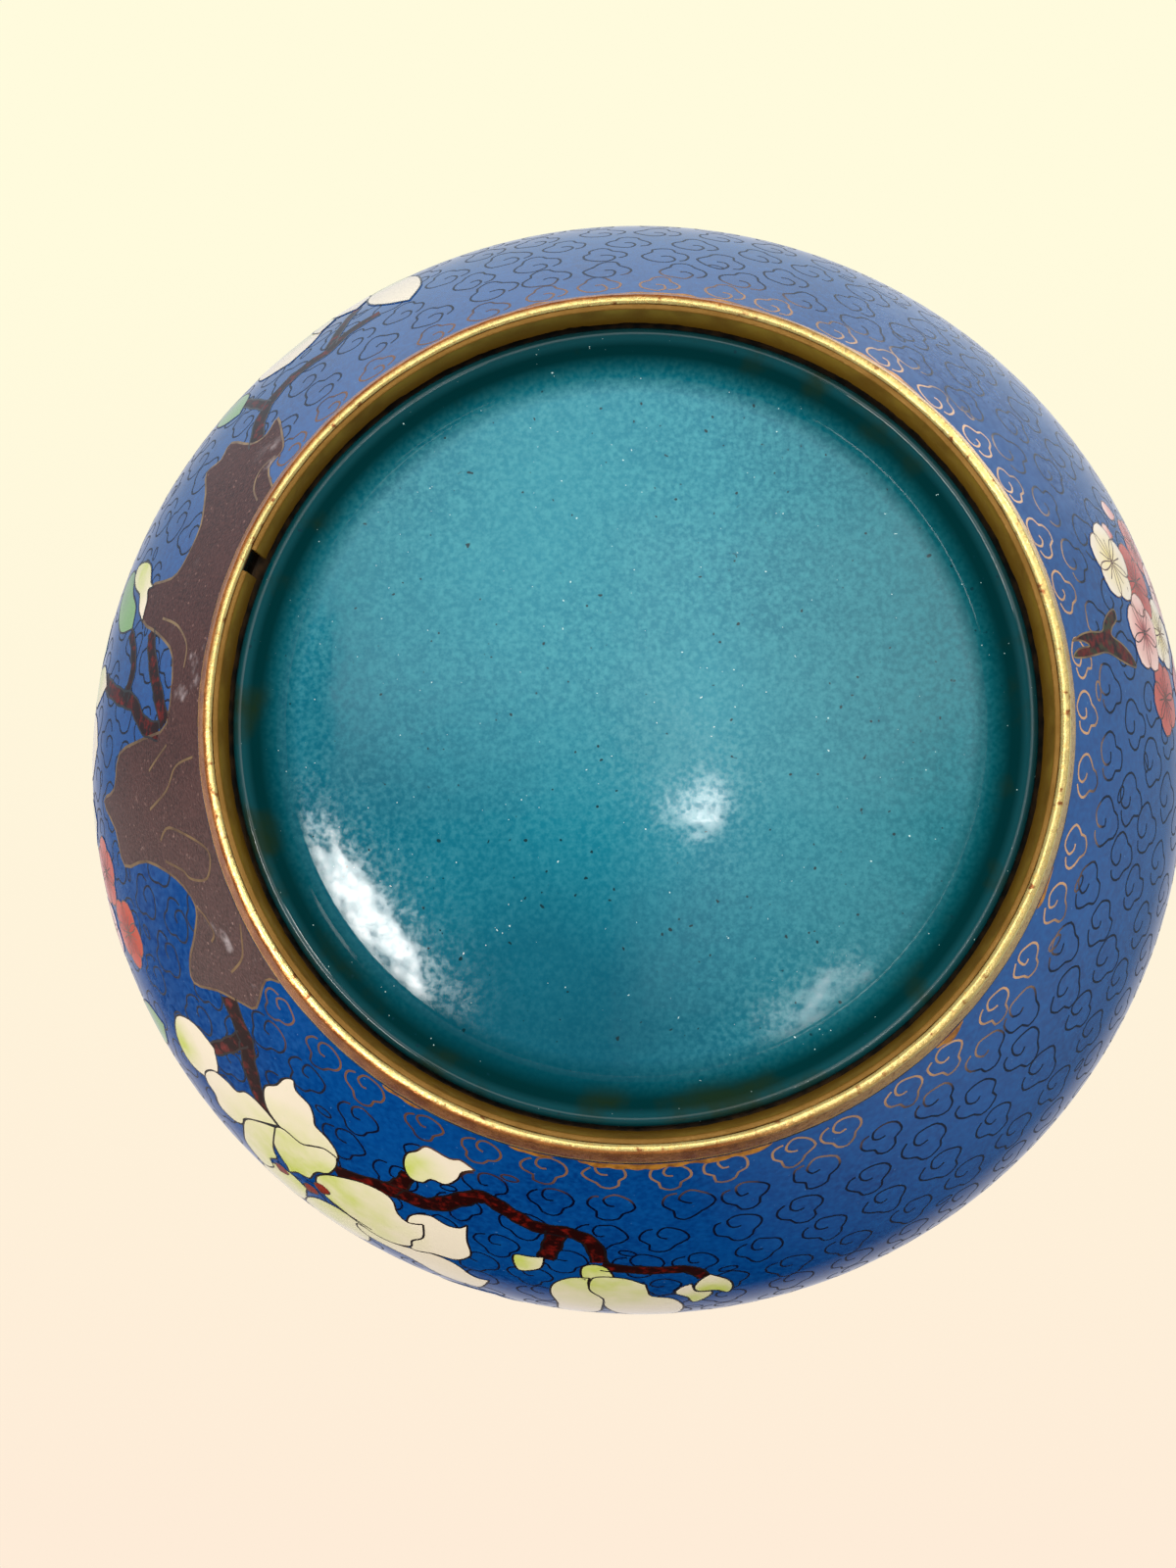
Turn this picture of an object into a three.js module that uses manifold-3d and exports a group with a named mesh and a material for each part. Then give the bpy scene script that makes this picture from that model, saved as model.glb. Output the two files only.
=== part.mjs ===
// A cloisonne bowl, standing on its foot ring with its mouth up.
// Millimetres, +Z up. The origin is the middle of the foot ring, on the table.
// The bowl is a copper vessel with enamel outside, an enamel lining, an enamel dish under its floor,
// a brass foot ring with an inner strip, and a brass band round its mouth.
import * as THREE from "three";
import { mergeVertices } from "three/addons/utils/BufferGeometryUtils.js";
import Module from "manifold-3d";

const wasm = await Module();
wasm.setup();

// Driving dimensions of the body
const bodyRadius = 104; // the widest place, half way up
const equatorHeight = 66; // where it is widest
const bowlHeight = 92;
const mouthRadius = 96; // outside of the brass band at the mouth
const flankSlope = 45; // degrees from level, where the flank leaves the foot
const flankReach = 30; // how far the flank runs on before it bends up
const flankRise = 22; // how long it is nearly upright below the widest place
const shoulderRise = 11; // how long it is nearly upright above the widest place
const mouthSlope = 52; // degrees from level, where the shoulder ends at the mouth
const mouthReach = 8;

// Driving dimensions of the walls
const wall = 2.0; // copper with the enamel and wires outside
const lining = 0.9; // enamel inside
const seam = 0.3; // clearance between pieces that touch

// Driving dimensions of the foot
const footRadius = 63.9; // outside of the ring, where it meets the body
const lipOuterRadius = 61.7; // outside of the flat lip that the bowl stands on
const lipWidth = 0.9;
const lipRound = 0.5; // how far the lip's edges are worn round
const ringHeight = 4.3;
const ringThickness = 1.1; // at the lip
const stripThickness = 0.5;
const stripHeight = 4.2;
const stripLean = 0.25; // how far the strip leans inward above the lip
const stripRise = 0.4; // how far its lower edge is above the table
const stripGap = 3.4; // the open butt seam of the strip
const stripSeamAngle = 202; // degrees round from +X
const seamCutLength = 16; // along the radius, well through the strip

// Driving dimensions of the floor
const floorRise = 8; // the enamel floor in the foot is this far above the table
const floorFlatRadius = 53; // flat out to here, then it sweeps down to its bead
const dishThickness = 1.1;
const beadWidth = 2; // rounded edge of the enamel
const beadDrop = 3.6; // how far the bead hangs below the flat floor
const beadClearance = 0.4; // the dark gap between the bead and the strip
const beadBacking = 1.6; // how far the bead's back is above its lowest line
const beadStartAngle = 225; // degrees; where the sweep of the floor runs into the bead's round
const sweepBend = 3.2; // the sweep turns down this far in from the dish's edge
const innerFloorRound = 9; // how far up the wall the inside floor's round reaches

// Driving dimensions of the band at the mouth
const bandHeight = 2.2;
const bandProud = 0.3; // how far it stands out from the enamel

// Fineness
const turns = 56; // facets round the axis
const flankSteps = 8;
const shoulderSteps = 4;
const roundSteps = 3;
const bandRoundSteps = 2;

const point = (radius, height) => new THREE.Vector2(radius, height);

// A closed mesh with shared vertices, as a solid that can be joined and cut
function solid(geometry) {
  const bare = geometry.clone();
  bare.deleteAttribute("normal");
  bare.deleteAttribute("uv");
  const merged = mergeVertices(bare, 1e-4);
  return new wasm.Manifold(
    new wasm.Mesh({
      numProp: 3,
      vertProperties: Float32Array.from(merged.attributes.position.array),
      triVerts: Uint32Array.from(merged.index.array),
    }),
  );
}

function meshOf(body) {
  const { vertProperties, triVerts } = body.getMesh();
  const geometry = new THREE.BufferGeometry();
  geometry.setAttribute("position", new THREE.BufferAttribute(vertProperties, 3));
  geometry.setIndex(new THREE.BufferAttribute(triVerts, 1));
  geometry.computeVertexNormals();
  return geometry;
}

// A profile turned round the upright axis
function turned(profile) {
  const lathe = new THREE.LatheGeometry(profile, turns);
  lathe.rotateX(Math.PI / 2);
  return meshOf(solid(lathe));
}

// A row of points moved sideways by a depth, towards the inside of the bowl
function inset(points, depth) {
  return points.map((at, i) => {
    const before = points[Math.max(i - 1, 0)];
    const after = points[Math.min(i + 1, points.length - 1)];
    const along = after.clone().sub(before).normalize();
    return point(at.x - along.y * depth, at.y + along.x * depth);
  });
}

function heading(degrees, length) {
  const angle = THREE.MathUtils.degToRad(degrees);
  return point(Math.cos(angle) * length, Math.sin(angle) * length);
}

// The outside of the body: a flank that leaves the foot nearly straight and bends up to the widest
// place, then a shoulder that turns in to the mouth
const wallTop = bowlHeight - bandHeight - seam;
const seat = ringHeight + seam; // the body's flat underside over the ring
const footEdge = point(footRadius + seam, seat);
const widest = point(bodyRadius, equatorHeight);
const mouthEdge = point(mouthRadius - bandProud, wallTop);
const flank = new THREE.CubicBezierCurve(
  footEdge,
  footEdge.clone().add(heading(flankSlope, flankReach)),
  point(bodyRadius, equatorHeight - flankRise),
  widest,
);
const shoulder = new THREE.CubicBezierCurve(
  widest,
  point(bodyRadius, equatorHeight + shoulderRise),
  mouthEdge.clone().sub(heading(180 - mouthSlope, mouthReach)),
  mouthEdge,
);
const outside = [...flank.getPoints(flankSteps), ...shoulder.getPoints(shoulderSteps).slice(1)];

// The body's and the lining's inner faces: the outside moved in, then a round down to a flat floor
function insideFace(depth, floor) {
  const wallPoints = inset(outside, depth).filter((at) => at.y > floor + innerFloorRound);
  wallPoints[wallPoints.length - 1].y = wallTop;
  const low = wallPoints[0];
  const slope = wallPoints[1].clone().sub(low);
  const corner = point(low.x - (slope.x / slope.y) * (low.y - floor), floor);
  const flatEnd = point(corner.x - corner.distanceTo(low), floor);
  const round = new THREE.QuadraticBezierCurve(flatEnd, corner, low).getPoints(roundSteps);
  return [point(0, floor), ...round, ...wallPoints.slice(1)];
}

// The enamel dish under the floor, with its bead inside the foot ring
const ringInnerRadius = lipOuterRadius - ringThickness;
const stripInnerRadius = ringInnerRadius - seam - stripThickness - stripLean;
const dishRadius = stripInnerRadius - beadClearance;
const floorUnderside = floorRise + dishThickness + seam;
const beadLow = floorRise - beadDrop;
const beadBack = beadLow + beadBacking;
const bead = new THREE.EllipseCurve(
  dishRadius - beadWidth / 2,
  beadLow + beadWidth / 2,
  beadWidth / 2,
  beadWidth / 2,
  THREE.MathUtils.degToRad(beadStartAngle),
  Math.PI * 2,
);
const beadPoints = bead.getPoints(roundSteps + 1);
const sweep = new THREE.QuadraticBezierCurve(
  point(floorFlatRadius, floorRise),
  point(dishRadius - sweepBend, floorRise),
  beadPoints[0],
);
const dishTop = [
  point(dishRadius, beadBack),
  point(dishRadius - beadWidth / 2, beadBack),
  point(floorFlatRadius, floorUnderside - seam),
  point(0, floorUnderside - seam),
];
const dishProfile = [point(0, floorRise), ...sweep.getPoints(roundSteps), ...beadPoints.slice(1), ...dishTop];

const vesselFloor = floorUnderside + wall;
const vesselProfile = [
  point(0, floorUnderside),
  point(floorFlatRadius, floorUnderside),
  point(dishRadius - beadWidth / 2, beadBack + seam),
  point(dishRadius, beadBack + seam),
  point(ringInnerRadius, seat),
  ...outside,
  ...insideFace(wall, vesselFloor).reverse(),
];

const liningFloor = vesselFloor + seam;
const liningProfile = [
  ...insideFace(wall + seam, liningFloor),
  ...insideFace(wall + seam + lining, liningFloor + lining).reverse(),
];

// The foot ring: a narrow flat lip below, flared out to the body above
const footRingProfile = [
  point(ringInnerRadius, lipRound),
  point(lipOuterRadius - lipWidth, 0),
  point(lipOuterRadius, 0),
  point(lipOuterRadius + lipRound, lipRound),
  point(footRadius, ringHeight - lipRound),
  point(footRadius, ringHeight),
  point(ringInnerRadius, ringHeight),
  point(ringInnerRadius, lipRound),
];

// The strip bent round inside the ring, open at its butt seam
function footStrip() {
  const foot = ringInnerRadius - seam;
  const top = stripRise + stripHeight;
  const band = solid(
    new THREE.LatheGeometry(
      [
        point(foot - stripThickness, stripRise),
        point(foot, stripRise),
        point(foot - stripLean, top),
        point(foot - stripLean - stripThickness, top),
        point(foot - stripThickness, stripRise),
      ],
      turns,
    ).rotateX(Math.PI / 2),
  );
  const angle = THREE.MathUtils.degToRad(stripSeamAngle);
  const gap = new THREE.BoxGeometry(seamCutLength, stripGap, 4 * stripHeight);
  gap.translate(foot, 0, 0).rotateZ(angle);
  return meshOf(band.subtract(solid(gap)));
}

// The brass band folded over the top of the wall
const bandInner = insideFace(wall + seam + lining, liningFloor + lining).at(-1).x - bandProud;
const bandRound = bandHeight / 2;

// One rounded top edge of the band, from its side to its top
function bandEdge(radius, inward) {
  const side = point(radius, bowlHeight - bandRound);
  const top = point(radius + inward, bowlHeight);
  return new THREE.QuadraticBezierCurve(side, point(radius, bowlHeight), top).getPoints(bandRoundSteps);
}

const bandProfile = [
  point(bandInner, wallTop + seam),
  point(mouthRadius, wallTop + seam),
  ...bandEdge(mouthRadius, -bandRound),
  ...bandEdge(bandInner, bandRound).reverse(),
  point(bandInner, wallTop + seam),
];

// Finishes
const cobalt = new THREE.MeshStandardMaterial({ color: 0x164f9e, roughness: 0.18, metalness: 0 });
const turquoise = new THREE.MeshStandardMaterial({ color: 0x1f8fa0, roughness: 0.16, metalness: 0 });
const gilt = new THREE.MeshStandardMaterial({ color: 0xb98a3a, roughness: 0.35, metalness: 1 });
const dullBrass = new THREE.MeshStandardMaterial({ color: 0x8a6a30, roughness: 0.5, metalness: 1 });

const bowl = new THREE.Group();
function add(name, geometry, material) {
  const mesh = new THREE.Mesh(geometry, material);
  mesh.name = name;
  bowl.add(mesh);
}

add("vessel", turned(vesselProfile), cobalt);
add("enamel_lining", turned(liningProfile), turquoise);
add("base_enamel", turned(dishProfile), turquoise);
add("foot_ring", turned(footRingProfile), gilt);
add("foot_inner_strip", footStrip(), dullBrass);
add("mouth_band", turned(bandProfile), gilt);

export default bowl;
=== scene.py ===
# A cloisonne bowl standing on its brass foot ring, in metres, with its mouth up.
import math
import random
from bisect import bisect_right

import bmesh
import bpy
from mathutils import Color, Matrix, Vector, noise
from mathutils.geometry import interpolate_bezier


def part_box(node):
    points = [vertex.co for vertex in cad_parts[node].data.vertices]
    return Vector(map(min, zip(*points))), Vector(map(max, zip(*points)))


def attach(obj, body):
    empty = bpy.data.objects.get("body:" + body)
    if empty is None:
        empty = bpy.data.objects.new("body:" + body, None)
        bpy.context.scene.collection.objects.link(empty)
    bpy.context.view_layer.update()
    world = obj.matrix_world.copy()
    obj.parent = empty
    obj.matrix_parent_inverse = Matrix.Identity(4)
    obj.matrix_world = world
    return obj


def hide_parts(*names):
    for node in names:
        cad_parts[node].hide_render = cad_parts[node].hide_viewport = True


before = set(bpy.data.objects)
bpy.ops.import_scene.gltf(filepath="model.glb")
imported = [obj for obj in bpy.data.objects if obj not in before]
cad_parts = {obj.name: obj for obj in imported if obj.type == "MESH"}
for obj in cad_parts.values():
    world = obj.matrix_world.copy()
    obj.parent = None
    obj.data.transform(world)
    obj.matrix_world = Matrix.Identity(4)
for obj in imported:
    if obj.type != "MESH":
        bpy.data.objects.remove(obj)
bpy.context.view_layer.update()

mm = 0.001
seam = 0.3
wall = 2.0
equator_height = 66
flank_slope = math.radians(45)
flank_reach = 30
flank_rise = 22
shoulder_rise = 11
mouth_slope = math.radians(52)
mouth_reach = 8
inner_floor_round = 9
flank_points = 61
shoulder_points = 25
round_points = 14
turn_steps = 360
crease = math.radians(40)

vessel_low, vessel_high = (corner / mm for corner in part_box("vessel"))
base_low, base_high = (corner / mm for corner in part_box("base_enamel"))
band_low, band_high = (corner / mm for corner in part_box("mouth_band"))
strip_low, strip_high = (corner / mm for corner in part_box("foot_inner_strip"))
ring_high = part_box("foot_ring")[1] / mm


def spot(radius, height):
    """A point of a profile, in millimetres from the axis and over the table."""
    return Vector((radius, 0, height))


def curve(start, corner, end, steps):
    """Points of a round that leaves start and reaches end, both aimed at the corner."""
    return interpolate_bezier(start, start.lerp(corner, 2 / 3), end.lerp(corner, 2 / 3), end, steps)


foot_edge = spot(ring_high.x + seam, vessel_low.z)
widest = spot(vessel_high.x, equator_height)
mouth_edge = spot(band_high.x - seam, vessel_high.z)
flank_pull = spot(math.cos(flank_slope), math.sin(flank_slope)) * flank_reach
mouth_pull = spot(-math.cos(mouth_slope), math.sin(mouth_slope)) * mouth_reach
flank = interpolate_bezier(foot_edge, foot_edge + flank_pull, widest - spot(0, flank_rise), widest,
                           flank_points)
shoulder = interpolate_bezier(widest, widest + spot(0, shoulder_rise), mouth_edge - mouth_pull, mouth_edge,
                              shoulder_points)
outside = flank + shoulder[1:]


def inset(line, depth):
    """The same line moved into the wall by a depth."""
    moved = []
    for i, here in enumerate(line):
        along = (line[min(i + 1, len(line) - 1)] - line[max(i - 1, 0)]).normalized()
        moved.append(here + spot(-along.z, along.x) * depth)
    return moved


def inside_face(depth, floor):
    """The wall's inner face at a depth, with a round down to a flat floor."""
    face = [here for here in inset(outside, depth) if here.z > floor + inner_floor_round]
    face[-1].z = vessel_high.z
    low = face[0]
    slope = face[1] - low
    corner = spot(low.x - slope.x / slope.z * (low.z - floor), floor)
    flat_end = corner - spot((corner - low).length, 0)
    return [spot(0, floor)] + curve(flat_end, corner, low, round_points) + face[1:]


def finish_piece(name, bm, materials, replaced=()):
    """Turns a mesh into a piece that rides on the bowl. What is inlaid in it casts no shadow."""
    mesh = bpy.data.meshes.new(name)
    bm.to_mesh(mesh)
    bm.free()
    mesh.shade_smooth()
    mesh.set_sharp_from_angle(angle=crease)
    for material in materials:
        mesh.materials.append(material)
    piece = bpy.data.objects.new(name, mesh)
    bpy.context.scene.collection.objects.link(piece)
    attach(piece, "root")
    if replaced:
        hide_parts(*replaced)
    else:
        piece.visible_shadow = False
    return piece


def turned(outline, angle=math.tau, start=0.0):
    """An outline in millimetres, turned round the upright axis."""
    bm = bmesh.new()
    corners = [bm.verts.new(here * mm) for here in outline]
    for first, second in zip(corners, corners[1:] + corners[:1]):
        bm.edges.new((first, second))
    bmesh.ops.rotate(bm, verts=bm.verts, cent=(0, 0, 0), matrix=Matrix.Rotation(start, 3, "Z"))
    full = angle == math.tau
    if not full:
        bmesh.ops.contextual_create(bm, geom=bm.edges[:])
    bmesh.ops.spin(bm, geom=bm.verts[:] + bm.edges[:] + bm.faces[:], axis=(0, 0, 1), cent=(0, 0, 0),
                   angle=angle, steps=turn_steps, use_merge=full)
    bmesh.ops.remove_doubles(bm, verts=bm.verts, dist=1e-7)
    bmesh.ops.recalc_face_normals(bm, faces=bm.faces)
    return bm


def paint(red, green, blue):
    """A colour as a paint chart gives it, ready for a shader."""
    return (*Color((red / 255, green / 255, blue / 255)).from_srgb_to_scene_linear(), 1.0)


def new_material(name, roughness, metallic=0.0, mirror=0.5):
    """A finish, with how rough and how metallic it is and how strongly it mirrors."""
    material = bpy.data.materials.new(name)
    material.use_nodes = True
    shader = material.node_tree.nodes["Principled BSDF"]
    shader.inputs["Roughness"].default_value = roughness
    shader.inputs["Metallic"].default_value = metallic
    shader.inputs["Specular IOR Level"].default_value = mirror
    return material


def place_on(material):
    """The place on a piece, in metres from the middle of the foot."""
    return material.node_tree.nodes.new("ShaderNodeTexCoord").outputs["Object"]


def blotches(material, size, detail=3.0, seed=0.0):
    """Uneven patches over a piece, about as wide as the size in millimetres."""
    tree = material.node_tree
    patches = tree.nodes.new("ShaderNodeTexNoise")
    patches.noise_dimensions = "4D"
    patches.inputs["W"].default_value = seed
    patches.inputs["Scale"].default_value = 1 / (size * mm)
    patches.inputs["Detail"].default_value = detail
    tree.links.new(place_on(material), patches.inputs["Vector"])
    return patches.outputs["Fac"]


def spread(material, source, start, end, low=0.0, high=1.0):
    """A number that runs from low to high while the source runs from start to end."""
    tree = material.node_tree
    node = tree.nodes.new("ShaderNodeMapRange")
    node.inputs["From Min"].default_value = start
    node.inputs["From Max"].default_value = end
    node.inputs["To Min"].default_value = low
    node.inputs["To Max"].default_value = high
    tree.links.new(source, node.inputs["Value"])
    return node.outputs["Result"]


def blend_colours(material, factor, first, second):
    """Two colours, each a paint or another blend, mixed by a number."""
    tree = material.node_tree
    node = tree.nodes.new("ShaderNodeMix")
    node.data_type = "RGBA"
    tree.links.new(factor, node.inputs["Factor"])
    for name, colour in (("A", first), ("B", second)):
        socket = [one for one in node.inputs if one.name == name and one.type == "RGBA"][0]
        if isinstance(colour, tuple):
            socket.default_value = colour
        else:
            tree.links.new(colour, socket)
    return [one for one in node.outputs if one.type == "RGBA"][0]


def coat(material, colour, roughness=None, relief=None, depth=0.0, mirror=None):
    """Links a colour, a roughness, a relief with its depth in millimetres and a shine to the shader."""
    tree = material.node_tree
    shader = tree.nodes["Principled BSDF"]
    tree.links.new(colour, shader.inputs["Base Color"])
    if roughness is not None:
        tree.links.new(roughness, shader.inputs["Roughness"])
    if mirror is not None:
        tree.links.new(mirror, shader.inputs["Specular IOR Level"])
    if relief is not None:
        bump = tree.nodes.new("ShaderNodeBump")
        bump.inputs["Strength"].default_value = 1.0
        bump.inputs["Distance"].default_value = depth * mm
        tree.links.new(relief, bump.inputs["Height"])
        tree.links.new(bump.outputs["Normal"], shader.inputs["Normal"])


blue_enamel = new_material("blue_enamel", 0.1)
blue_clouding = spread(blue_enamel, blotches(blue_enamel, 16), 0.35, 0.65)
blue_grain = spread(blue_enamel, blotches(blue_enamel, 0.9, 4, 3), 0.35, 0.7)
blue_pinholes = spread(blue_enamel, blotches(blue_enamel, 0.8, 1, 5), 0.74, 0.78, 0.0, 0.6)
blue_body = blend_colours(blue_enamel, blue_clouding, paint(0, 52, 120), paint(2, 66, 138))
blue_grained = blend_colours(blue_enamel, blue_grain, blue_body, paint(5, 80, 152))
blue_pitted = blend_colours(blue_enamel, blue_pinholes, blue_grained, paint(90, 130, 180))
blue_ripple = blotches(blue_enamel, 5, 2, 8)
blue_roughness = spread(blue_enamel, blue_grain, 0, 1, 0.07, 0.14)
coat(blue_enamel, blue_pitted, blue_roughness, blue_ripple, 0.03)

floor_flat_radius = 53
dish_backing = 1.6
bead_width = 2.0
gap_shade_reach = 0.5
floor_underside = base_high.z + seam
bead_back = base_low.z + dish_backing + seam
vessel_underside = [
    spot(0, floor_underside),
    spot(floor_flat_radius, floor_underside),
    spot(base_high.x - bead_width / 2, bead_back),
    spot(base_high.x, bead_back),
    spot(strip_high.x, vessel_low.z),
]
vessel_inside = inside_face(wall, floor_underside + wall)
vessel_mesh = turned(vessel_underside + outside + vessel_inside[::-1])
# Painted shade: the underside inside the foot, seen only through the gap between the strip and the bead, is
# painted near-black, mottled brown.
foot_gap_shade = new_material("foot_gap_shade", 0.7)
gap_shade_patches = spread(foot_gap_shade, blotches(foot_gap_shade, 2), 0.4, 0.6)
coat(foot_gap_shade, blend_colours(foot_gap_shade, gap_shade_patches, paint(16, 14, 10), paint(52, 36, 18)))
for face in vessel_mesh.faces:
    middle = face.calc_center_median() / mm
    if middle.xy.length < foot_edge.x and middle.z < floor_underside + gap_shade_reach:
        face.material_index = 1
finish_piece("enamelled_vessel", vessel_mesh, [blue_enamel, foot_gap_shade], ["vessel"])

# The lining
# Turquoise enamel over the whole inside of the copper, fused on in one coat about a millimetre
# thick. It is glossy and faintly mottled, like the enamel in the foot.
lining_thickness = 0.9
lining_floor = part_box("enamel_lining")[0].z / mm


def times(material, first, second):
    """Two numbers of a material, multiplied."""
    tree = material.node_tree
    node = tree.nodes.new("ShaderNodeMath")
    node.operation = "MULTIPLY"
    tree.links.new(first, node.inputs[0])
    tree.links.new(second, node.inputs[1])
    return node.outputs["Value"]


turquoise = new_material("turquoise_lining", 0.1)
lining_clouding = spread(turquoise, blotches(turquoise, 26, 4), 0.35, 0.65)
lining_grain = spread(turquoise, blotches(turquoise, 1.2, 4, 2), 0.35, 0.7)
lining_colour = blend_colours(turquoise, lining_clouding, paint(18, 122, 144), paint(44, 146, 162))
lining_milk = times(turquoise, lining_grain, lining_clouding)
lining_grained = blend_colours(turquoise, lining_milk, lining_colour, paint(70, 165, 176))
coat(turquoise, lining_grained, None, blotches(turquoise, 7, 2, 6), 0.05)
lining_outer = inside_face(wall + seam, lining_floor)
lining_inner = inside_face(wall + seam + lining_thickness, lining_floor + lining_thickness)
finish_piece("turquoise_lining", turned(lining_outer + lining_inner[::-1]), [turquoise],
             ["enamel_lining"])

# The base enamel
# The same turquoise enamel under the floor, inside the foot ring. It was poured thick, so it turns
# down at its edge in a sweep and ends in a rounded bead; brown has run in from the brass. Its colour
# holds painted light: painted shadow in two soft pools, painted shade on its right side and in the
# sweep, and a painted milky reflection over its grain.
dish_thickness = 1.1
sweep_start = 52
sweep_points = 26
floor_ring_step = 4
bead_start = math.radians(225)
bead_steps = 14
bead_middle = spot(base_high.x - bead_width / 2, base_low.z + bead_width / 2)
bead = []
for step in range(bead_steps + 1):
    turn = bead_start + (math.tau - bead_start) * step / bead_steps
    bead.append(bead_middle + spot(math.cos(turn), math.sin(turn)) * bead_width / 2)
floor_height = base_high.z - dish_thickness
sweep_corner = spot(bead[0].x - (floor_height - bead[0].z), floor_height)
sweep = curve(spot(sweep_start, floor_height), sweep_corner, bead[0], sweep_points)
base_back = [
    spot(base_high.x, base_low.z + dish_backing),
    spot(base_high.x - bead_width / 2, base_low.z + dish_backing),
    spot(floor_flat_radius, base_high.z),
    spot(0, base_high.z),
]
floor_rings = [spot(radius, floor_height) for radius in range(0, sweep_start, floor_ring_step)]


def on_axis(material, axis, start, end, low=0.0, high=1.0):
    """A number that runs from low to high between two places on an axis, in millimetres."""
    tree = material.node_tree
    parts = tree.nodes.new("ShaderNodeSeparateXYZ")
    tree.links.new(place_on(material), parts.inputs["Vector"])
    return spread(material, parts.outputs[axis], start * mm, end * mm, low, high)


def from_centre(material, start, end, centre=(0, 0, 0), low=0.0, high=1.0):
    """The same between two distances from a centre, all in millimetres."""
    tree = material.node_tree
    node = tree.nodes.new("ShaderNodeVectorMath")
    node.operation = "DISTANCE"
    node.inputs[1].default_value = Vector(centre) * mm
    tree.links.new(place_on(material), node.inputs[0])
    return spread(material, node.outputs["Value"], start * mm, end * mm, low, high)


# Painted shadow: the floor is painted darker, with less clouding and grain, in two soft pools round these
# middles.
shadow_middle = (-14, 45, floor_height)
left_shadow_middle = (-48, 6, floor_height)
base_glaze = new_material("base_glaze", 0.1)
base_clouding = spread(base_glaze, blotches(base_glaze, 30, 4, 1), 0.36, 0.64)
base_grain = spread(base_glaze, blotches(base_glaze, 0.7, 5, 2), 0.38, 0.66)
base_specks = spread(base_glaze, blotches(base_glaze, 1.1, 1, 3), 0.73, 0.76)
base_pinholes = spread(base_glaze, blotches(base_glaze, 0.55, 1, 9), 0.775, 0.79)
base_out_of_shadow = times(base_glaze, from_centre(base_glaze, 12, 55, shadow_middle, 0.12, 1.0),
                  from_centre(base_glaze, 6, 38, left_shadow_middle, 0.45, 1.0))
# Painted shade: towards its right side the floor is painted darker, and its milky veil fainter.
base_right = on_axis(base_glaze, "X", 12, 45, 0.0, 0.8)
base_painted_shadow = blend_colours(base_glaze, base_out_of_shadow, paint(0, 84, 107), paint(4, 116, 140))
base_clouded = blend_colours(base_glaze, times(base_glaze, base_clouding, base_out_of_shadow), base_painted_shadow,
                             paint(22, 130, 152))
base_shaded = blend_colours(base_glaze, base_right, base_clouded, paint(4, 100, 114))
# Painted reflection: a pale milky veil laid over the grain, outside the painted shadow.
base_sheen_colour = blend_colours(base_glaze, base_right, paint(56, 148, 164), paint(28, 122, 136))
base_grain_and_sheen = blend_colours(base_glaze, times(base_glaze, base_grain, base_out_of_shadow), base_shaded, base_sheen_colour)
# Painted shade: the sweep at the edge is painted dark teal.
base_fillet_shade = from_centre(base_glaze, 50.8, 56.0)
base_fillet_shaded = blend_colours(base_glaze, base_fillet_shade, base_grain_and_sheen, paint(0, 46, 50))
base_bead = on_axis(base_glaze, "Z", base_low.z + 1.1, base_low.z + 0.4)
base_beaded = blend_colours(base_glaze, base_bead, base_fillet_shaded, paint(0, 66, 74))
base_dark_specks = blend_colours(base_glaze, base_specks, base_beaded, paint(8, 52, 62))
base_pale_specks = blend_colours(base_glaze, base_pinholes, base_dark_specks, paint(190, 225, 225))
base_stain_patches = spread(base_glaze, blotches(base_glaze, 9, 5, 12), 0.52, 0.68, 0.0, 0.8)
base_stain_depth = on_axis(base_glaze, "Z", floor_height - 0.2, floor_height - 2.0)
base_stain = times(base_glaze, base_stain_patches, base_stain_depth)
base_stained = blend_colours(base_glaze, base_stain, base_pale_specks, paint(26, 44, 22))
base_sweep = times(base_glaze, from_centre(base_glaze, 51.2, 53.4), from_centre(base_glaze, 57.6, 56.8))
base_mirror = spread(base_glaze, base_sweep, 0, 1, 0.5, 0.05)
base_roughness = spread(base_glaze, base_grain, 0, 1, 0.045, 0.11)
coat(base_glaze, base_stained, base_roughness, blotches(base_glaze, 8, 2, 4), 0.045, base_mirror)
base_mesh = turned(floor_rings + sweep + bead[1:] + base_back)
finish_piece("base_enamel_dish", base_mesh, [base_glaze], ["base_enamel"])

# The foot ring
# A ring of brass wire drawn to a flared section and soldered under the body. The bowl stands on
# its narrow lip, which has worn bright. On one side the gilding has gone and copper shows.
lip_face = 0.85
lip_outer_radius = 61.7
lip_round = 0.175
round_growth = 0.03
ring_thickness = 1.1
ring_bore = lip_outer_radius - ring_thickness
bore_edge = 0.25
lip_spread = 0.1
flare_round = 0.6
ring_unevenness = 0.07
lip_unevenness = 0.06
lip_top = 1.2


def corner_round(before, corner, after, radius, steps=5):
    """A corner between two straight stretches, worn round."""
    start = corner + (before - corner).normalized() * radius
    end = corner + (after - corner).normalized() * radius
    return curve(start, corner, end, steps)


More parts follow.
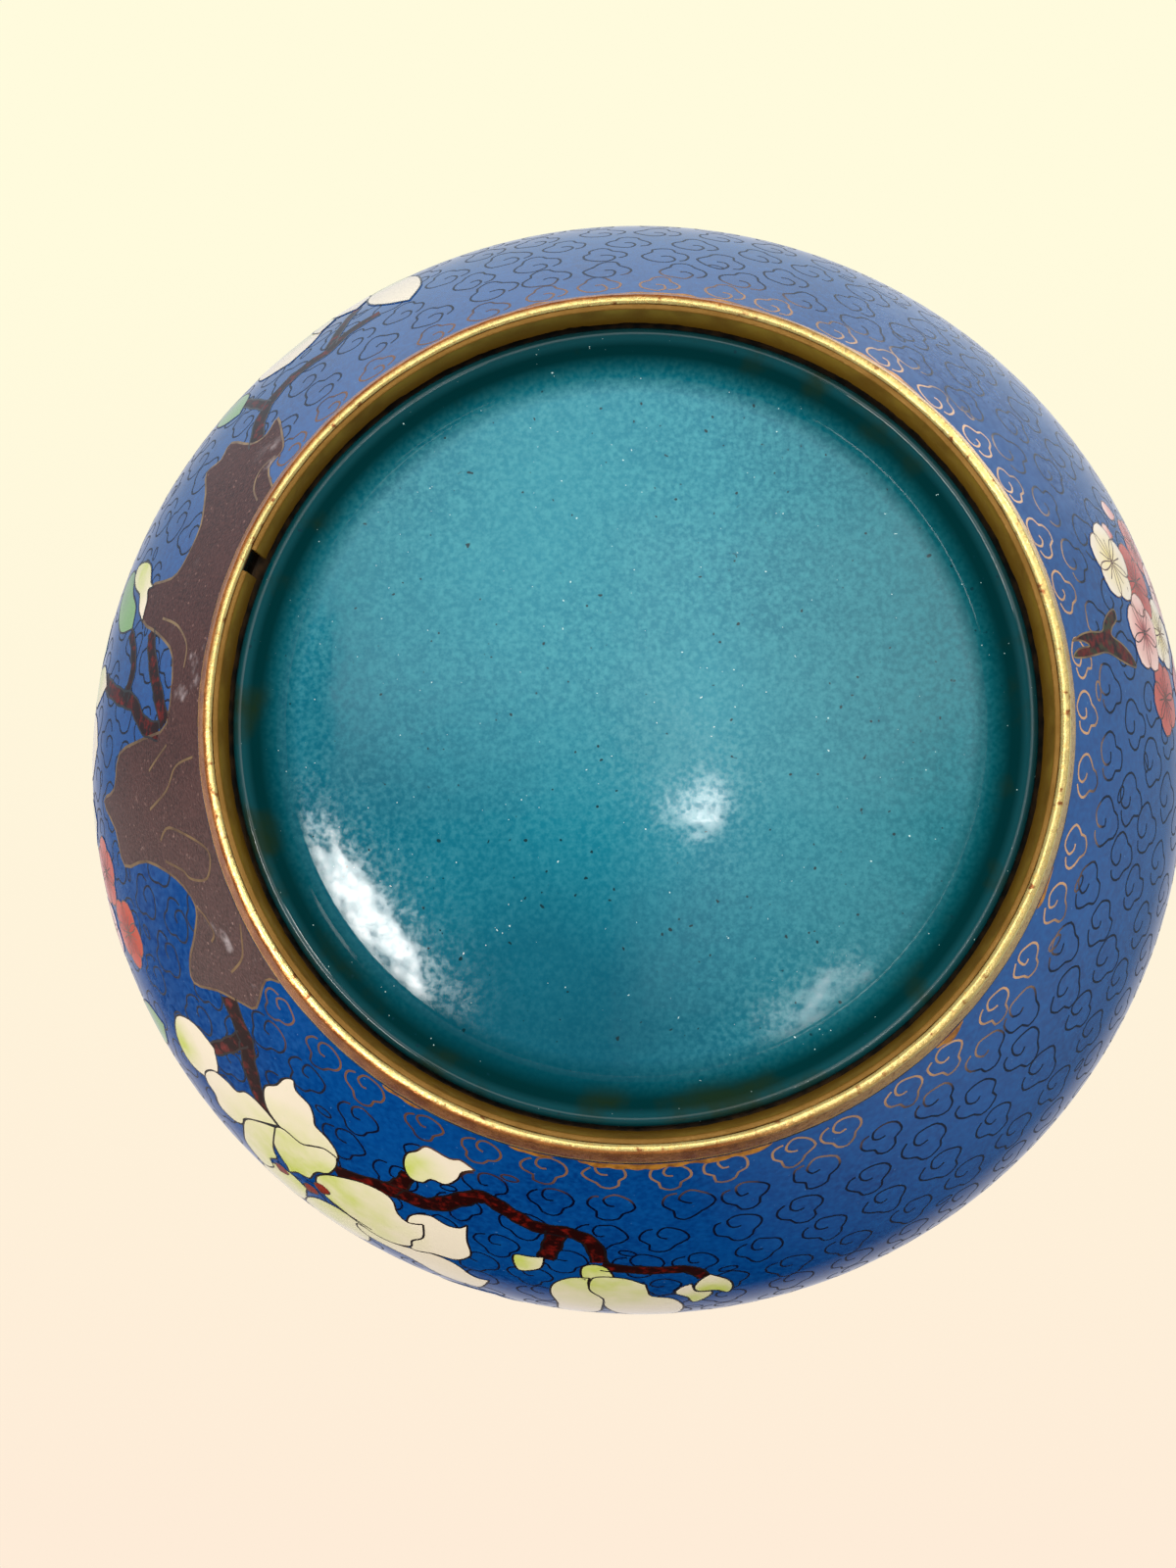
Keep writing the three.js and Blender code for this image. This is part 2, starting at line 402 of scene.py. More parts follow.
ring_corners = [
    spot(ring_bore, bore_edge),
    spot(lip_outer_radius + lip_spread - lip_face, 0),
    spot(lip_outer_radius + lip_spread, 0),
    spot(ring_high.x, ring_high.z - flare_round),
    spot(ring_high.x, ring_high.z),
    spot(ring_bore, ring_high.z),
]
ring_outline = []
for i, corner in enumerate(ring_corners[:4]):
    ring_round = lip_round + round_growth * i
    ring_outline += corner_round(ring_corners[i - 1], corner, ring_corners[i + 1], ring_round)
ring_outline += ring_corners[4:]
ring_mesh = turned(ring_outline)
for vert in ring_mesh.verts:
    outward = Vector((vert.co.x, vert.co.y, 0)).normalized()
    wobble = noise.noise(vert.co / (7 * mm)) + 0.6 * noise.noise(vert.co / (1.6 * mm))
    vert.co += outward * wobble * ring_unevenness * mm
    if vert.co.z < lip_top * mm:
        vert.co.z = max(vert.co.z + noise.noise(vert.co / (2.5 * mm)) * lip_unevenness * mm, 0)

worn_gilt = new_material("worn_gilt", 0.3, 0.7)
gilt_patches = spread(worn_gilt, blotches(worn_gilt, 3, 5, 1), 0.42, 0.6)
gilt_streaks = spread(worn_gilt, blotches(worn_gilt, 0.8, 4, 4), 0.5, 0.78)
gilt_gone = on_axis(worn_gilt, "X", 55, 12)
flare_copper = blend_colours(worn_gilt, gilt_patches, paint(218, 142, 78), paint(180, 106, 54))
flare_colour = blend_colours(worn_gilt, gilt_gone, paint(246, 200, 110), flare_copper)
flare_grimy = blend_colours(worn_gilt, gilt_streaks, flare_colour, paint(124, 68, 36))
lip_worn = blend_colours(worn_gilt, gilt_streaks, paint(255, 230, 150), paint(246, 196, 108))
lip_stains = spread(worn_gilt, blotches(worn_gilt, 1.6, 5, 8), 0.58, 0.66)
lip_colour = blend_colours(worn_gilt, lip_stains, lip_worn, paint(168, 104, 60))
lip_gone = times(worn_gilt, from_centre(worn_gilt, 61.25, 61.50), gilt_gone)
lip_bare = blend_colours(worn_gilt, lip_gone, lip_colour, flare_grimy)
gilt_flared = blend_colours(worn_gilt, on_axis(worn_gilt, "Z", 0.3, 0.6), lip_bare, flare_grimy)
gilt_rimmed = blend_colours(worn_gilt, from_centre(worn_gilt, 63.6, 63.8), gilt_flared, paint(240, 186, 96))
# Painted shade: the ring's bore above its lip is painted near-black.
bore_shade = times(worn_gilt, from_centre(worn_gilt, 60.9, 60.8), on_axis(worn_gilt, "Z", 0.4, 1.0))
gilt_colour = blend_colours(worn_gilt, bore_shade, gilt_rimmed, paint(26, 20, 12))
gilt_roughness = spread(worn_gilt, gilt_streaks, 0, 1, 0.24, 0.46)
coat(worn_gilt, gilt_colour, gilt_roughness, blotches(worn_gilt, 0.6, 4, 7), 0.05)
finish_piece("brass_foot_ring", ring_mesh, [worn_gilt], ["foot_ring"])

# The strip in the foot
# A thin brass strip bent round inside the ring to hold the enamel's edge, tacked on with solder.
# Its ends don't meet, its upper edge is ragged, and it has gone a dull brown.
strip_thickness = 0.5
strip_lean = 0.25
strip_seam_angle = math.radians(202)
strip_opening = 3.4
strip_gap = strip_opening / strip_high.x
strip_splay = 0.25
strip_foot = strip_high.x + strip_splay
strip_bevel = 0.2
strip_round = 0.12
strip_raggedness = 0.35
strip_corners = [
    spot(strip_high.x - strip_thickness, strip_low.z + strip_bevel),
    spot(strip_foot, strip_low.z),
    spot(strip_foot - strip_lean, strip_high.z),
    spot(strip_high.x - strip_lean - strip_thickness, strip_high.z),
]
strip_outline = []
for i, corner in enumerate(strip_corners):
    strip_outline += corner_round(strip_corners[i - 1], corner, strip_corners[(i + 1) % 4], strip_round, 3)
strip_mesh = turned(strip_outline, math.tau - strip_gap, strip_seam_angle + strip_gap / 2)
for vert in strip_mesh.verts:
    share = (vert.co.z / mm - strip_low.z) / (strip_high.z - strip_low.z)
    ragged = noise.noise(vert.co / (3.5 * mm)) + 0.8 * noise.noise(vert.co / (0.9 * mm))
    vert.co.z += share ** 3 * min(ragged * strip_raggedness - 0.1, 0) * mm
dull_brass = new_material("dull_brass", 0.38, 0.5)
dull_patches = spread(dull_brass, blotches(dull_brass, 5, 4, 2), 0.4, 0.62)
# Painted shade: the strip is painted darker deeper in the foot.
strip_depth_shade = on_axis(dull_brass, "Z", 1.2, 4.2)
dull_colour = blend_colours(dull_brass, dull_patches, paint(172, 130, 40), paint(138, 96, 24))
dull_shaded_deep = blend_colours(dull_brass, strip_depth_shade, dull_colour, paint(140, 102, 30))
# Painted shade: the strip's lower edge, by the lip, is painted a darker brown.
strip_edge_shade = on_axis(dull_brass, "Z", 0.8, 0.6)
dull_shaded_edge = blend_colours(dull_brass, strip_edge_shade, dull_shaded_deep, paint(128, 92, 28))
dull_roughness = spread(dull_brass, dull_patches, 0, 1, 0.3, 0.5)
coat(dull_brass, dull_shaded_edge, dull_roughness, blotches(dull_brass, 0.7, 4, 7), 0.05)
finish_piece("inner_strip", strip_mesh, [dull_brass], ["foot_inner_strip"])

# The mouth band
# A narrow gilt brass band folded over the top of the wall, round on top. It hides the ends of the
# copper and of both coats of enamel.
band_inner = lining_inner[-1].x - seam
band_round = 1.0
band_round_points = 9
band_corners = [
    spot(band_inner, band_low.z),
    spot(band_high.x, band_low.z),
    spot(band_high.x, band_high.z),
    spot(band_inner, band_high.z),
]
band_outline = band_corners[:2]
band_outline += corner_round(band_corners[1], band_corners[2], band_corners[3], band_round,
                             band_round_points)
band_outline += corner_round(band_corners[2], band_corners[3], band_corners[0], band_round,
                             band_round_points)
band_gilt = new_material("band_gilt", 0.26, 1.0)
band_patches = spread(band_gilt, blotches(band_gilt, 6, 5, 5), 0.45, 0.68)
band_colour = blend_colours(band_gilt, band_patches, paint(232, 184, 96), paint(170, 112, 54))
band_roughness = spread(band_gilt, band_patches, 0, 1, 0.2, 0.4)
coat(band_gilt, band_colour, band_roughness, blotches(band_gilt, 0.8, 4, 3), 0.04)
finish_piece("brass_mouth_band", turned(band_outline), [band_gilt], ["mouth_band"])

# The cloud wires
# Flattened brass wire bent by hand into little clouds, each with one end curled in, and set on the
# copper in rows before the enamel was filled in. Polishing left them flush: gold by the foot, dark
# further up, where they have tarnished.
wire_width = 0.4
wire_lift = 0.012
cloud_shake = 0.2
oval_steps = 12
oval_flatness = 0.55
oval_share = 0.16
oval_climb = 4.0
reach = [0.0]
for first, second in zip(outside, outside[1:]):
    reach.append(reach[-1] + (second - first).length)


def flank_radius(climb):
    """The bowl's radius, this far up its outside from the foot."""
    i = min(max(bisect_right(reach, climb), 1), len(reach) - 1)
    share = (climb - reach[i - 1]) / (reach[i] - reach[i - 1])
    return outside[i - 1].lerp(outside[i], share).x


def on_flank(angle, climb, lift):
    """The place on the outside at an angle in degrees and a climb from the foot in millimetres."""
    i = min(max(bisect_right(reach, climb), 1), len(reach) - 1)
    share = (climb - reach[i - 1]) / (reach[i] - reach[i - 1])
    along = (outside[i] - outside[i - 1]).normalized()
    here = outside[i - 1].lerp(outside[i], share) + spot(along.z, -along.x) * lift
    return Matrix.Rotation(math.radians(angle), 3, "Z") @ here * mm


def smooth(points, steps):
    """A soft line through the points, which are angles and climbs."""
    line = []
    for i in range(len(points) - 1):
        before = points[max(i - 1, 0)]
        after = points[min(i + 2, len(points) - 1)]
        here, there = points[i], points[i + 1]
        for step in range(steps):
            t = step / steps
            line.append(here * (1 - t) ** 2 * (1 + 2 * t) + there * t * t * (3 - 2 * t)
                        + (there - before) * (t * (1 - t) ** 2) / 2 - (after - here) * (t * t * (1 - t)) / 2)
    return line + [points[-1]]


def ribbon(bm, line, width, lift, across=1):
    """Lays a flat ribbon on the outside along a line of angles and climbs."""
    count = len(line) - 1
    grid = bmesh.ops.create_grid(bm, x_segments=count, y_segments=across, size=1)
    degree = math.radians(flank_radius(line[count // 2].y))
    sides = []
    for i in range(count + 1):
        run = line[min(i + 1, count)] - line[max(i - 1, 0)]
        sides.append(Vector((-run.y, run.x * degree)).normalized())
    for vert in grid["verts"]:
        i = round((vert.co.x + 1) / 2 * count)
        wide = width[i] if isinstance(width, list) else width
        shift = sides[i] * vert.co.y * wide / 2
        vert.co = on_flank(line[i].x + shift.x / degree, line[i].y + shift.y, lift)
    return grid["verts"]


cloud_outline = [(-0.6, -0.9), (0.6, -0.8), (1.4, -2.0), (1.1, -3.5), (0.0, -4.3), (-1.5, -4.1),
                 (-3.2, -3.0), (-3.9, -1.2), (-3.3, 0.3), (-2.1, 1.3), (-1.7, 2.8), (-0.1, 3.8),
                 (1.5, 3.1), (2.0, 1.5), (3.4, 0.3), (3.9, -1.3), (3.3, -2.8), (2.1, -3.4)]
cloud_rows = [(4.6, 46, 0.88), (12.6, 45, 1.02), (21.2, 46, 1.06), (30.0, 50, 1.06), (38.8, 54, 1.06),
              (47.6, 56, 1.06), (56.4, 58, 1.06), (65.2, 60, 1.06), (74.0, 61, 1.06), (82.8, 61, 1.06),
              (91.6, 59, 1.04)]
hand = random.Random(4)
cloud_mesh = bmesh.new()


def lay_cloud(angle, climb, size, turn):
    """One cloud of wire, its shape a little different each time."""
    degree = math.radians(flank_radius(climb))
    line = []
    for x, y in cloud_outline:
        shake = Vector((hand.uniform(-cloud_shake, cloud_shake), hand.uniform(-cloud_shake, cloud_shake)))
        shaky = (Vector((x, y)) + shake) * size
        shaky.rotate(Matrix.Rotation(turn, 2))
        line.append(Vector((angle + shaky.x / degree, max(climb + shaky.y, 0.3))))
    ribbon(cloud_mesh, smooth(line, 2), wire_width, wire_lift)


def lay_oval(angle, climb, size):
    """One small ring of wire that fills the space between clouds."""
    degree = math.radians(flank_radius(climb))
    tilt = hand.uniform(-0.5, 0.5)
    line = []
    for step in range(oval_steps + 1):
        turn = math.tau * step / oval_steps
        shaky = Vector((math.cos(turn) * size, math.sin(turn) * size * oval_flatness))
        shaky.rotate(Matrix.Rotation(tilt, 2))
        line.append(Vector((angle + shaky.x / degree, climb + shaky.y)))
    ribbon(cloud_mesh, line, wire_width, wire_lift)


for row, (climb, count, size) in enumerate(cloud_rows):
    pitch = 360 / count
    for i in range(count):
        angle = (i + row % 2 / 2) * pitch + hand.uniform(-0.1, 0.1) * pitch
        wander = 0.6 * math.sin(math.radians(angle) * 3 + row) + hand.uniform(-0.4, 0.4)
        lay_cloud(angle, climb + wander, size * hand.uniform(0.88, 1.02), hand.uniform(-0.22, 0.22))
        if hand.random() < oval_share:
            lay_oval(angle + pitch / 2, climb + wander + oval_climb, hand.uniform(1.2, 1.6))

cloud_wire = new_material("cloud_wire", 0.35, 0.1, 0.2)
wire_rise = on_axis(cloud_wire, "Z", 7.5, 15, 0, 1.6)
wire_patches = spread(cloud_wire, blotches(cloud_wire, 9, 4, 2), 0.35, 0.65, -0.35, 0.35)
wire_tarnish = cloud_wire.node_tree.nodes.new("ShaderNodeMath")
wire_tarnish.use_clamp = True
cloud_wire.node_tree.links.new(wire_rise, wire_tarnish.inputs[0])
cloud_wire.node_tree.links.new(wire_patches, wire_tarnish.inputs[1])
# Painted light: the bronze of the wires is painted lighter towards the right side and darker towards the
# left.
wire_lit_side = on_axis(cloud_wire, "X", -20, 50)
wire_bronze_lit = blend_colours(cloud_wire, wire_lit_side, paint(120, 80, 54), paint(206, 160, 118))
coat(cloud_wire, blend_colours(cloud_wire, wire_tarnish.outputs["Value"], wire_bronze_lit, paint(2, 6, 40)))
finish_piece("cloud_wires", cloud_mesh, [cloud_wire])

# The old trunk
# The foot of a gnarled tree, a cell of matt purple-brown enamel that runs along the foot ring.
# It is pitted and crossed by bark lines of gold wire. Low down it carries patches of painted white
# reflection, broken into a fine grain.
trunk_lift = 0.03
lift_over = 0.012
bark_width = 0.4
trunk_edge_width = 0.45
trunk_outline = [(142.8, 0.0), (144.3, 3), (142.7, 10), (144.5, 13), (147.5, 17.5), (150, 23.5),
                 (152.4, 21), (154.3, 16), (157.3, 11.6), (161.5, 15), (165, 24), (165.8, 34.5), (170, 36),
                 (173.6, 41.5), (174.4, 34.5), (178.1, 31), (179, 20), (180.2, 11), (188.3, 11.2),
                 (191.5, 19), (193.3, 28), (197.2, 30), (198.5, 20.5), (201, 17.7), (205.5, 18),
                 (209.5, 23.5), (212, 29.3), (214, 26.6), (216.4, 27.6), (217.2, 18.5), (219.2, 15.8),
                 (221.6, 17), (219.6, 9), (218, 5.6), (215.2, 5.6), (213, 0.0)]


def lay_inlay(outline, lift, cell=2.0, tinted=None):
    """Fills an outline on the outside with a thin sheet, cut small enough to follow the curve."""
    bm = bmesh.new()
    tint = bm.verts.layers.float.new("tint")
    corners = [bm.verts.new((x, y, 0)) for x, y in outline]
    for first, second in zip(corners, corners[1:] + corners[:1]):
        bm.edges.new((first, second))
    bmesh.ops.triangle_fill(bm, edges=bm.edges, use_beauty=True)
    for axis in (0, 1):
        low = min(vert.co[axis] for vert in bm.verts)
        high = max(vert.co[axis] for vert in bm.verts)
        place = Vector((0, 0, 0))
        direction = Vector((0, 0, 0))
        direction[axis] = 1
        for step in range(1, math.ceil((high - low) / cell)):
            place[axis] = low + step * cell
            bmesh.ops.bisect_plane(bm, geom=bm.verts[:] + bm.edges[:] + bm.faces[:], plane_co=place,
                                   plane_no=direction)
    bmesh.ops.reverse_faces(bm, faces=[face for face in bm.faces if face.normal.z < 0])
    for vert in bm.verts:
        if tinted is not None:
            vert[tint] = tinted(vert.co.xy)
        vert.co = on_flank(vert.co.x, vert.co.y, lift)
    return bm


trunk_line = smooth([Vector(here) for here in trunk_outline], 3)
trunk_mesh = lay_inlay(trunk_line, trunk_lift)
trunk_enamel = new_material("trunk_enamel", 0.42, mirror=0.2)
trunk_patches = spread(trunk_enamel, blotches(trunk_enamel, 7, 4, 2), 0.35, 0.65)
trunk_grain = spread(trunk_enamel, blotches(trunk_enamel, 0.5, 5, 3), 0.36, 0.68)
trunk_brown = blend_colours(trunk_enamel, trunk_patches, paint(51, 28, 27), paint(65, 36, 34))
trunk_grained = blend_colours(trunk_enamel, trunk_grain, trunk_brown, paint(88, 55, 52))
trunk_specks = spread(trunk_enamel, blotches(trunk_enamel, 0.7, 2, 6), 0.66, 0.72)
trunk_specked = blend_colours(trunk_enamel, trunk_specks, trunk_grained, paint(136, 102, 94))
# Painted reflection: white patches low on the trunk, broken into a fine grain.
trunk_low = on_axis(trunk_enamel, "Z", 15, 7)
trunk_sheen_patches = times(trunk_enamel, trunk_low, spread(trunk_enamel, blotches(trunk_enamel, 9, 3, 9), 0.6, 0.7))
trunk_sheen_grain = spread(trunk_enamel, blotches(trunk_enamel, 1.2, 5, 5), 0.36, 0.6)
trunk_painted_sheen = times(trunk_enamel, trunk_sheen_patches, trunk_sheen_grain)
trunk_colour = blend_colours(trunk_enamel, trunk_painted_sheen, trunk_specked, paint(205, 192, 196))
coat(trunk_enamel, trunk_colour, None, trunk_grain, 0.03)
finish_piece("tree_trunk", trunk_mesh, [trunk_enamel])

bark_lines = [
    [(148, 10.5), (148.6, 5), (152, 1)],
    [(152.5, 11.5), (153.2, 9.6), (155.5, 10), (157.5, 11.8)],
    [(164, 17), (162, 12), (160.5, 10), (159.5, 5), (162, 2), (164.5, 5), (167.5, 13), (166.5, 17)],
    [(175, 2), (174.5, 8), (172, 12), (170.5, 19)],
    [(177.5, 11), (175, 18)],
    [(187, 6.5), (190, 7), (192.5, 12), (193.5, 19)],
    [(210.5, 2), (212, 6), (214.5, 8), (217, 6.5)],
]
bark_mesh = bmesh.new()
for line in bark_lines:
    ribbon(bark_mesh, smooth([Vector(here) for here in line], 5), bark_width, trunk_lift + lift_over)
ribbon(bark_mesh, trunk_line, trunk_edge_width, trunk_lift + lift_over)
bark_gold = new_material("bark_gold", 0.32, 0.8)
bark_patches = spread(bark_gold, blotches(bark_gold, 4, 4, 2), 0.4, 0.62)
coat(bark_gold, blend_colours(bark_gold, bark_patches, paint(186, 146, 98), paint(136, 100, 72)))
finish_piece("bark_wires", bark_mesh, [bark_gold])

# The magnolia branches
# Long cells of dark red-brown enamel, mottled where red grains came up through it, between two
# dark wires. They grow out of the trunk and carry the buds and flowers.
branch_lift = 0.035
branch_root = 1.1
branch_taper = 0.3
branch_knobs = 0.1
edge_over = 0.008
magnolia_branches = [
    (3.4, [(146, 15.5), (141, 19), (139.5, 22), (136, 28), (132, 31.5)]),
    (2.6, [(141.3, 19.5), (142, 25), (143, 31)]),
    (3.4, [(124, 31), (118, 26), (113, 24), (110, 19), (107.5, 15.8), (104, 18), (101, 20.3), (97, 20.5),
           (94.5, 23), (93.5, 29.5)]),
    (2.8, [(118, 26), (116.8, 22), (116.5, 18.2)]),
    (3.0, [(98.5, 21), (98.9, 26), (99.4, 30.5)]),
    (2.6, [(93.3, 30.8), (88, 31.8), (84, 32.2), (82.4, 36)]),
    (3.0, [(180.2, 11.8), (184, 15), (189, 20), (192, 22.5)]),
    (2.6, [(179.4, 14), (180.6, 20), (183.5, 25.5), (184.5, 32), (186, 40), (187, 44)]),
    (2.2, [(184.2, 29.4), (187.5, 27.5), (190.5, 30), (192, 33)]),
    (3.0, [(217.5, 17), (221, 24), (225, 27), (229, 26.8), (232, 25.5), (235, 27.6), (239.5, 27.5)]),
    (2.0, [(222.3, 26), (221.8, 33), (221.5, 39)]),
    (2.0, [(232.5, 27), (235, 33), (238, 40)]),
]
branch_mesh = bmesh.new()
outline_mesh = bmesh.new()


def lay_branch(bm, width, points, lift):
    """A branch with a wire down each side, knobbly and a little thinner at its end."""
    line = smooth([Vector(here) for here in points], 5)
    widths = []
    for i in range(len(line)):
        taper = branch_root - branch_taper * i / len(line)
        widths.append(width * taper * (1 + branch_knobs * math.sin(i * 1.7)))
    ribbon(bm, line, widths, lift, 2)
    degree = math.radians(flank_radius(line[0].y))
    for side in (-1, 1):
        edge = []
        for i, here in enumerate(line):
            run = line[min(i + 1, len(line) - 1)] - line[max(i - 1, 0)]
            out = Vector((-run.y, run.x * degree)).normalized() * side * widths[i] / 2
            edge.append(Vector((here.x + out.x / degree, here.y + out.y)))
        ribbon(outline_mesh, edge, wire_width, lift + edge_over)


for width, points in magnolia_branches:
    lay_branch(branch_mesh, width, points, branch_lift)
branch_enamel = new_material("branch_enamel", 0.3, mirror=0.12)
branch_grains = spread(branch_enamel, blotches(branch_enamel, 1.3, 4, 2), 0.5, 0.74)
branch_colour = blend_colours(branch_enamel, branch_grains, paint(34, 5, 3), paint(124, 20, 8))
coat(branch_enamel, branch_colour)
finish_piece("magnolia_branches", branch_mesh, [branch_enamel])

# The magnolia flowers, buds and leaves
# Cells of opal enamel, cream at the petals' tips and yellow-green towards their roots, each inside
# its own wire. The leaves are plain green cells, and small red-brown ones stand for the calyx.
petal_lift = 0.04
petal_step = 0.012
petal_long = 12
petal_wide = 4
petal_fullness = 1.4
petal_round = 0.62
fine_width = 0.26
fine_over = 0.006
fine_mesh = bmesh.new()


def petal_place(petal, along, across):
    """A place on a petal: along from 0 at the root to 1 at the tip, across from -1 to 1."""
    root_angle, root_climb, tip_angle, tip_climb, width = petal
    degree = math.radians(flank_radius((root_climb + tip_climb) / 2))
    run = Vector(((tip_angle - root_angle) * degree, tip_climb - root_climb))
    side = Vector((-run.y, run.x)).normalized()
    half = width / 2 * math.sin(math.pi * along ** petal_fullness) ** petal_round
    place = run * along + side * across * half
    return Vector((root_angle + place.x / degree, root_climb + place.y))


def lay_petal(bm, petal, lift, tint):
    """A petal as a fan of faces that follow the bowl, with its wire round it."""
    grid = bmesh.ops.create_grid(bm, x_segments=petal_long, y_segments=petal_wide, size=1)
    for vert in grid["verts"]:
        along = (vert.co.x + 1) / 2
        here = petal_place(petal, along, vert.co.y)
        vert[tint] = 1 - along
        vert.co = on_flank(here.x, here.y, lift)
    edge = [petal_place(petal, i / petal_long, 1) for i in range(petal_long + 1)]
    edge += [petal_place(petal, 1 - i / petal_long, -1) for i in range(1, petal_long + 1)]
    ribbon(fine_mesh, edge, fine_width, lift + fine_over)


def lay_petals(name, petals, material, lifts):
    """Petals of one enamel, each at its own lift, as one piece."""
    bm = bmesh.new()
    tint = bm.verts.layers.float.new("tint")
    for petal, lift in zip(petals, lifts):
        lay_petal(bm, petal, lift, tint)
    bmesh.ops.remove_doubles(bm, verts=bm.verts, dist=1e-6)
    return finish_piece(name, bm, [material])


def opal(name, root, tip):
    """Opal enamel that changes from the petal's root to its tip."""
    material = new_material(name, 0.12)
    tree = material.node_tree
    share = tree.nodes.new("ShaderNodeAttribute")
    share.attribute_name = "tint"
    uneven = spread(material, blotches(material, 5, 3, 2), 0.3, 0.7, 0.35, 1.3)
    factor = times(material, spread(material, share.outputs["Fac"], 0.1, 0.95), uneven)
    grain = spread(material, blotches(material, 0.6, 3, 6), 0.6, 0.85, 0.0, 0.3)
    colour = blend_colours(material, factor, tip, root)
    coat(material, blend_colours(material, grain, colour, paint(200, 215, 150)))
    return material


magnolia_opal = opal("magnolia_opal", paint(206, 216, 104), paint(248, 234, 210))
main_flower = [
    [(118.5, 46), (122, 44.6), (125, 48), (125.6, 56), (121.5, 60), (118, 55)],
    [(126, 46), (128.5, 44.8), (131, 49), (131.2, 57), (128, 60), (125.8, 55)],
    [(104.8, 46), (106.4, 46.4), (108.4, 43), (110.6, 42), (113, 43.6), (116, 46.2), (119.6, 46),
     (118.4, 49.8), (113.6, 50.2), (111, 52.6), (109.4, 54), (106, 53.5), (105.2, 50)],
    [(108.4, 25.8), (109.2, 27.8), (110.6, 28.4), (112.6, 27.6), (114.4, 29.8), (114.8, 33), (114, 38),
     (113.4, 44), (111, 41.8), (108.6, 40.6), (107.3, 37), (107.4, 34.5), (108, 31)],
    [(132, 31), (128.9, 31), (126, 29), (124.4, 26.6), (125.3, 24), (126.9, 22.6), (128.5, 22),
     (129.2, 20), (130.4, 18), (132.6, 17.6), (133.6, 15.8), (134.6, 17.6), (134.9, 21), (135.8, 24),
     (135.3, 27), (134, 29.6)],
    [(132, 31.3), (133.6, 30.6), (135.6, 30.4), (137.2, 31.4), (138, 34), (139.6, 34.6), (141.4, 36.5),
     (142, 40.5), (141.2, 43), (139.8, 43.6), (138.6, 46.2), (136.6, 45.6), (135.4, 43), (135.5, 40),
     (134.2, 36)],
    [(113, 31.6), (114.6, 33.4), (116, 32), (117, 28.6), (118.6, 27.6), (121, 28.6), (123.4, 31.5),
     (125, 34.5), (125.6, 38), (124.4, 42), (121, 44), (118, 46), (115.6, 45.8), (113.6, 43), (113.6, 40),
     (112.6, 36.5)],
    [(124.6, 26.2), (126.3, 26.3), (127.6, 28.2), (128.9, 30.3), (131.2, 30.6), (132.2, 32.5), (131.8, 37),
     (130.6, 40), (129, 42.5), (128.4, 44), (127.6, 41.5), (126.2, 40), (126, 37), (125.6, 35),
     (124.6, 33), (124.2, 29)],
    [(132.2, 32.4), (134.2, 36), (135.4, 40), (134.8, 46), (134, 50), (131.4, 53), (130.2, 49),
     (130.9, 46), (130.3, 43), (131.2, 40)],
]
buds = [
    [(143, 30.4), (146.6, 31.8), (148.6, 37), (147, 43), (144, 45), (141.3, 41), (141, 35)],
    [(109.2, 9.2), (111.2, 8), (112.6, 8.8), (115.6, 8.4), (116.6, 10.8), (117.6, 13), (117.4, 16.4),
     (116.2, 19), (114.6, 18.6), (113.8, 16.6), (112, 16.2), (110.9, 13.4), (110.6, 11)],
    [(99.5, 29.9), (101, 30.6), (102.6, 31), (102.8, 33), (102, 36.8), (100.4, 35.6), (99.6, 33.6)],
    [(81.8, 35), (82.8, 36.6), (83.6, 39.6), (83.2, 42), (81.4, 42.6), (80.2, 44.6), (79.6, 42), (80, 38.4)],
    [(83.8, 38), (85, 39.4), (85.6, 42), (84.4, 44.6), (83.8, 48), (82.4, 46), (81.8, 43), (83.4, 41.9)],
    [(243.2, 25.6), (245.4, 32), (245.6, 42), (243.4, 50.5), (240.4, 47), (239.3, 38), (240.8, 30.5)],
    [(238, 40.2), (240.2, 46), (239.6, 54), (237.4, 57.5), (235.6, 51), (236, 45)],
    [(233, 41), (235.4, 45), (235.2, 51), (233.8, 53), (232.6, 47)],
]
second_flower = [
    [(92.2, 33), (92.8, 31), (94.2, 30.2), (95.4, 31.8), (95.2, 36), (93.6, 37), (92, 35.4)],
    [(94.5, 35.6), (96.6, 36.4), (98.2, 40), (98.4, 45), (97.6, 51), (97.4, 58), (95.6, 61), (93.4, 56),
     (93, 50), (93, 45), (94.2, 41.5), (94.6, 38)],
    [(88.6, 37.5), (90.6, 35), (93, 34.6), (94.3, 36), (94.4, 41), (93, 45), (92.8, 50), (91.2, 57),
     (88.6, 62), (86, 60), (84.8, 52), (85.2, 47), (86.2, 44.4), (88, 43), (88.4, 40)],
]
side_petals = [
    [(180, 46), (183, 49), (183.8, 57), (181, 63), (177.6, 60), (177, 52)],
    [(186.3, 42.4), (188.7, 47), (188.2, 54), (186, 58), (184.3, 51)],
    [(193.2, 28.2), (195.6, 28.6), (197, 30), (197.4, 28), (198, 30), (199.8, 33), (200.4, 37),
     (200, 41.8), (198.6, 41.6), (197.2, 38), (196.4, 34), (194.6, 31.6)],
    [(228, 36.4), (231.6, 37.6), (233.9, 44), (232.6, 52), (229, 57), (225.6, 52), (224.8, 43)],
    [(172, 50), (174.6, 54), (174, 61), (171.4, 63), (169.8, 56)],
    [(104, 56), (108, 59), (110, 66), (105, 71), (101, 65)],
]


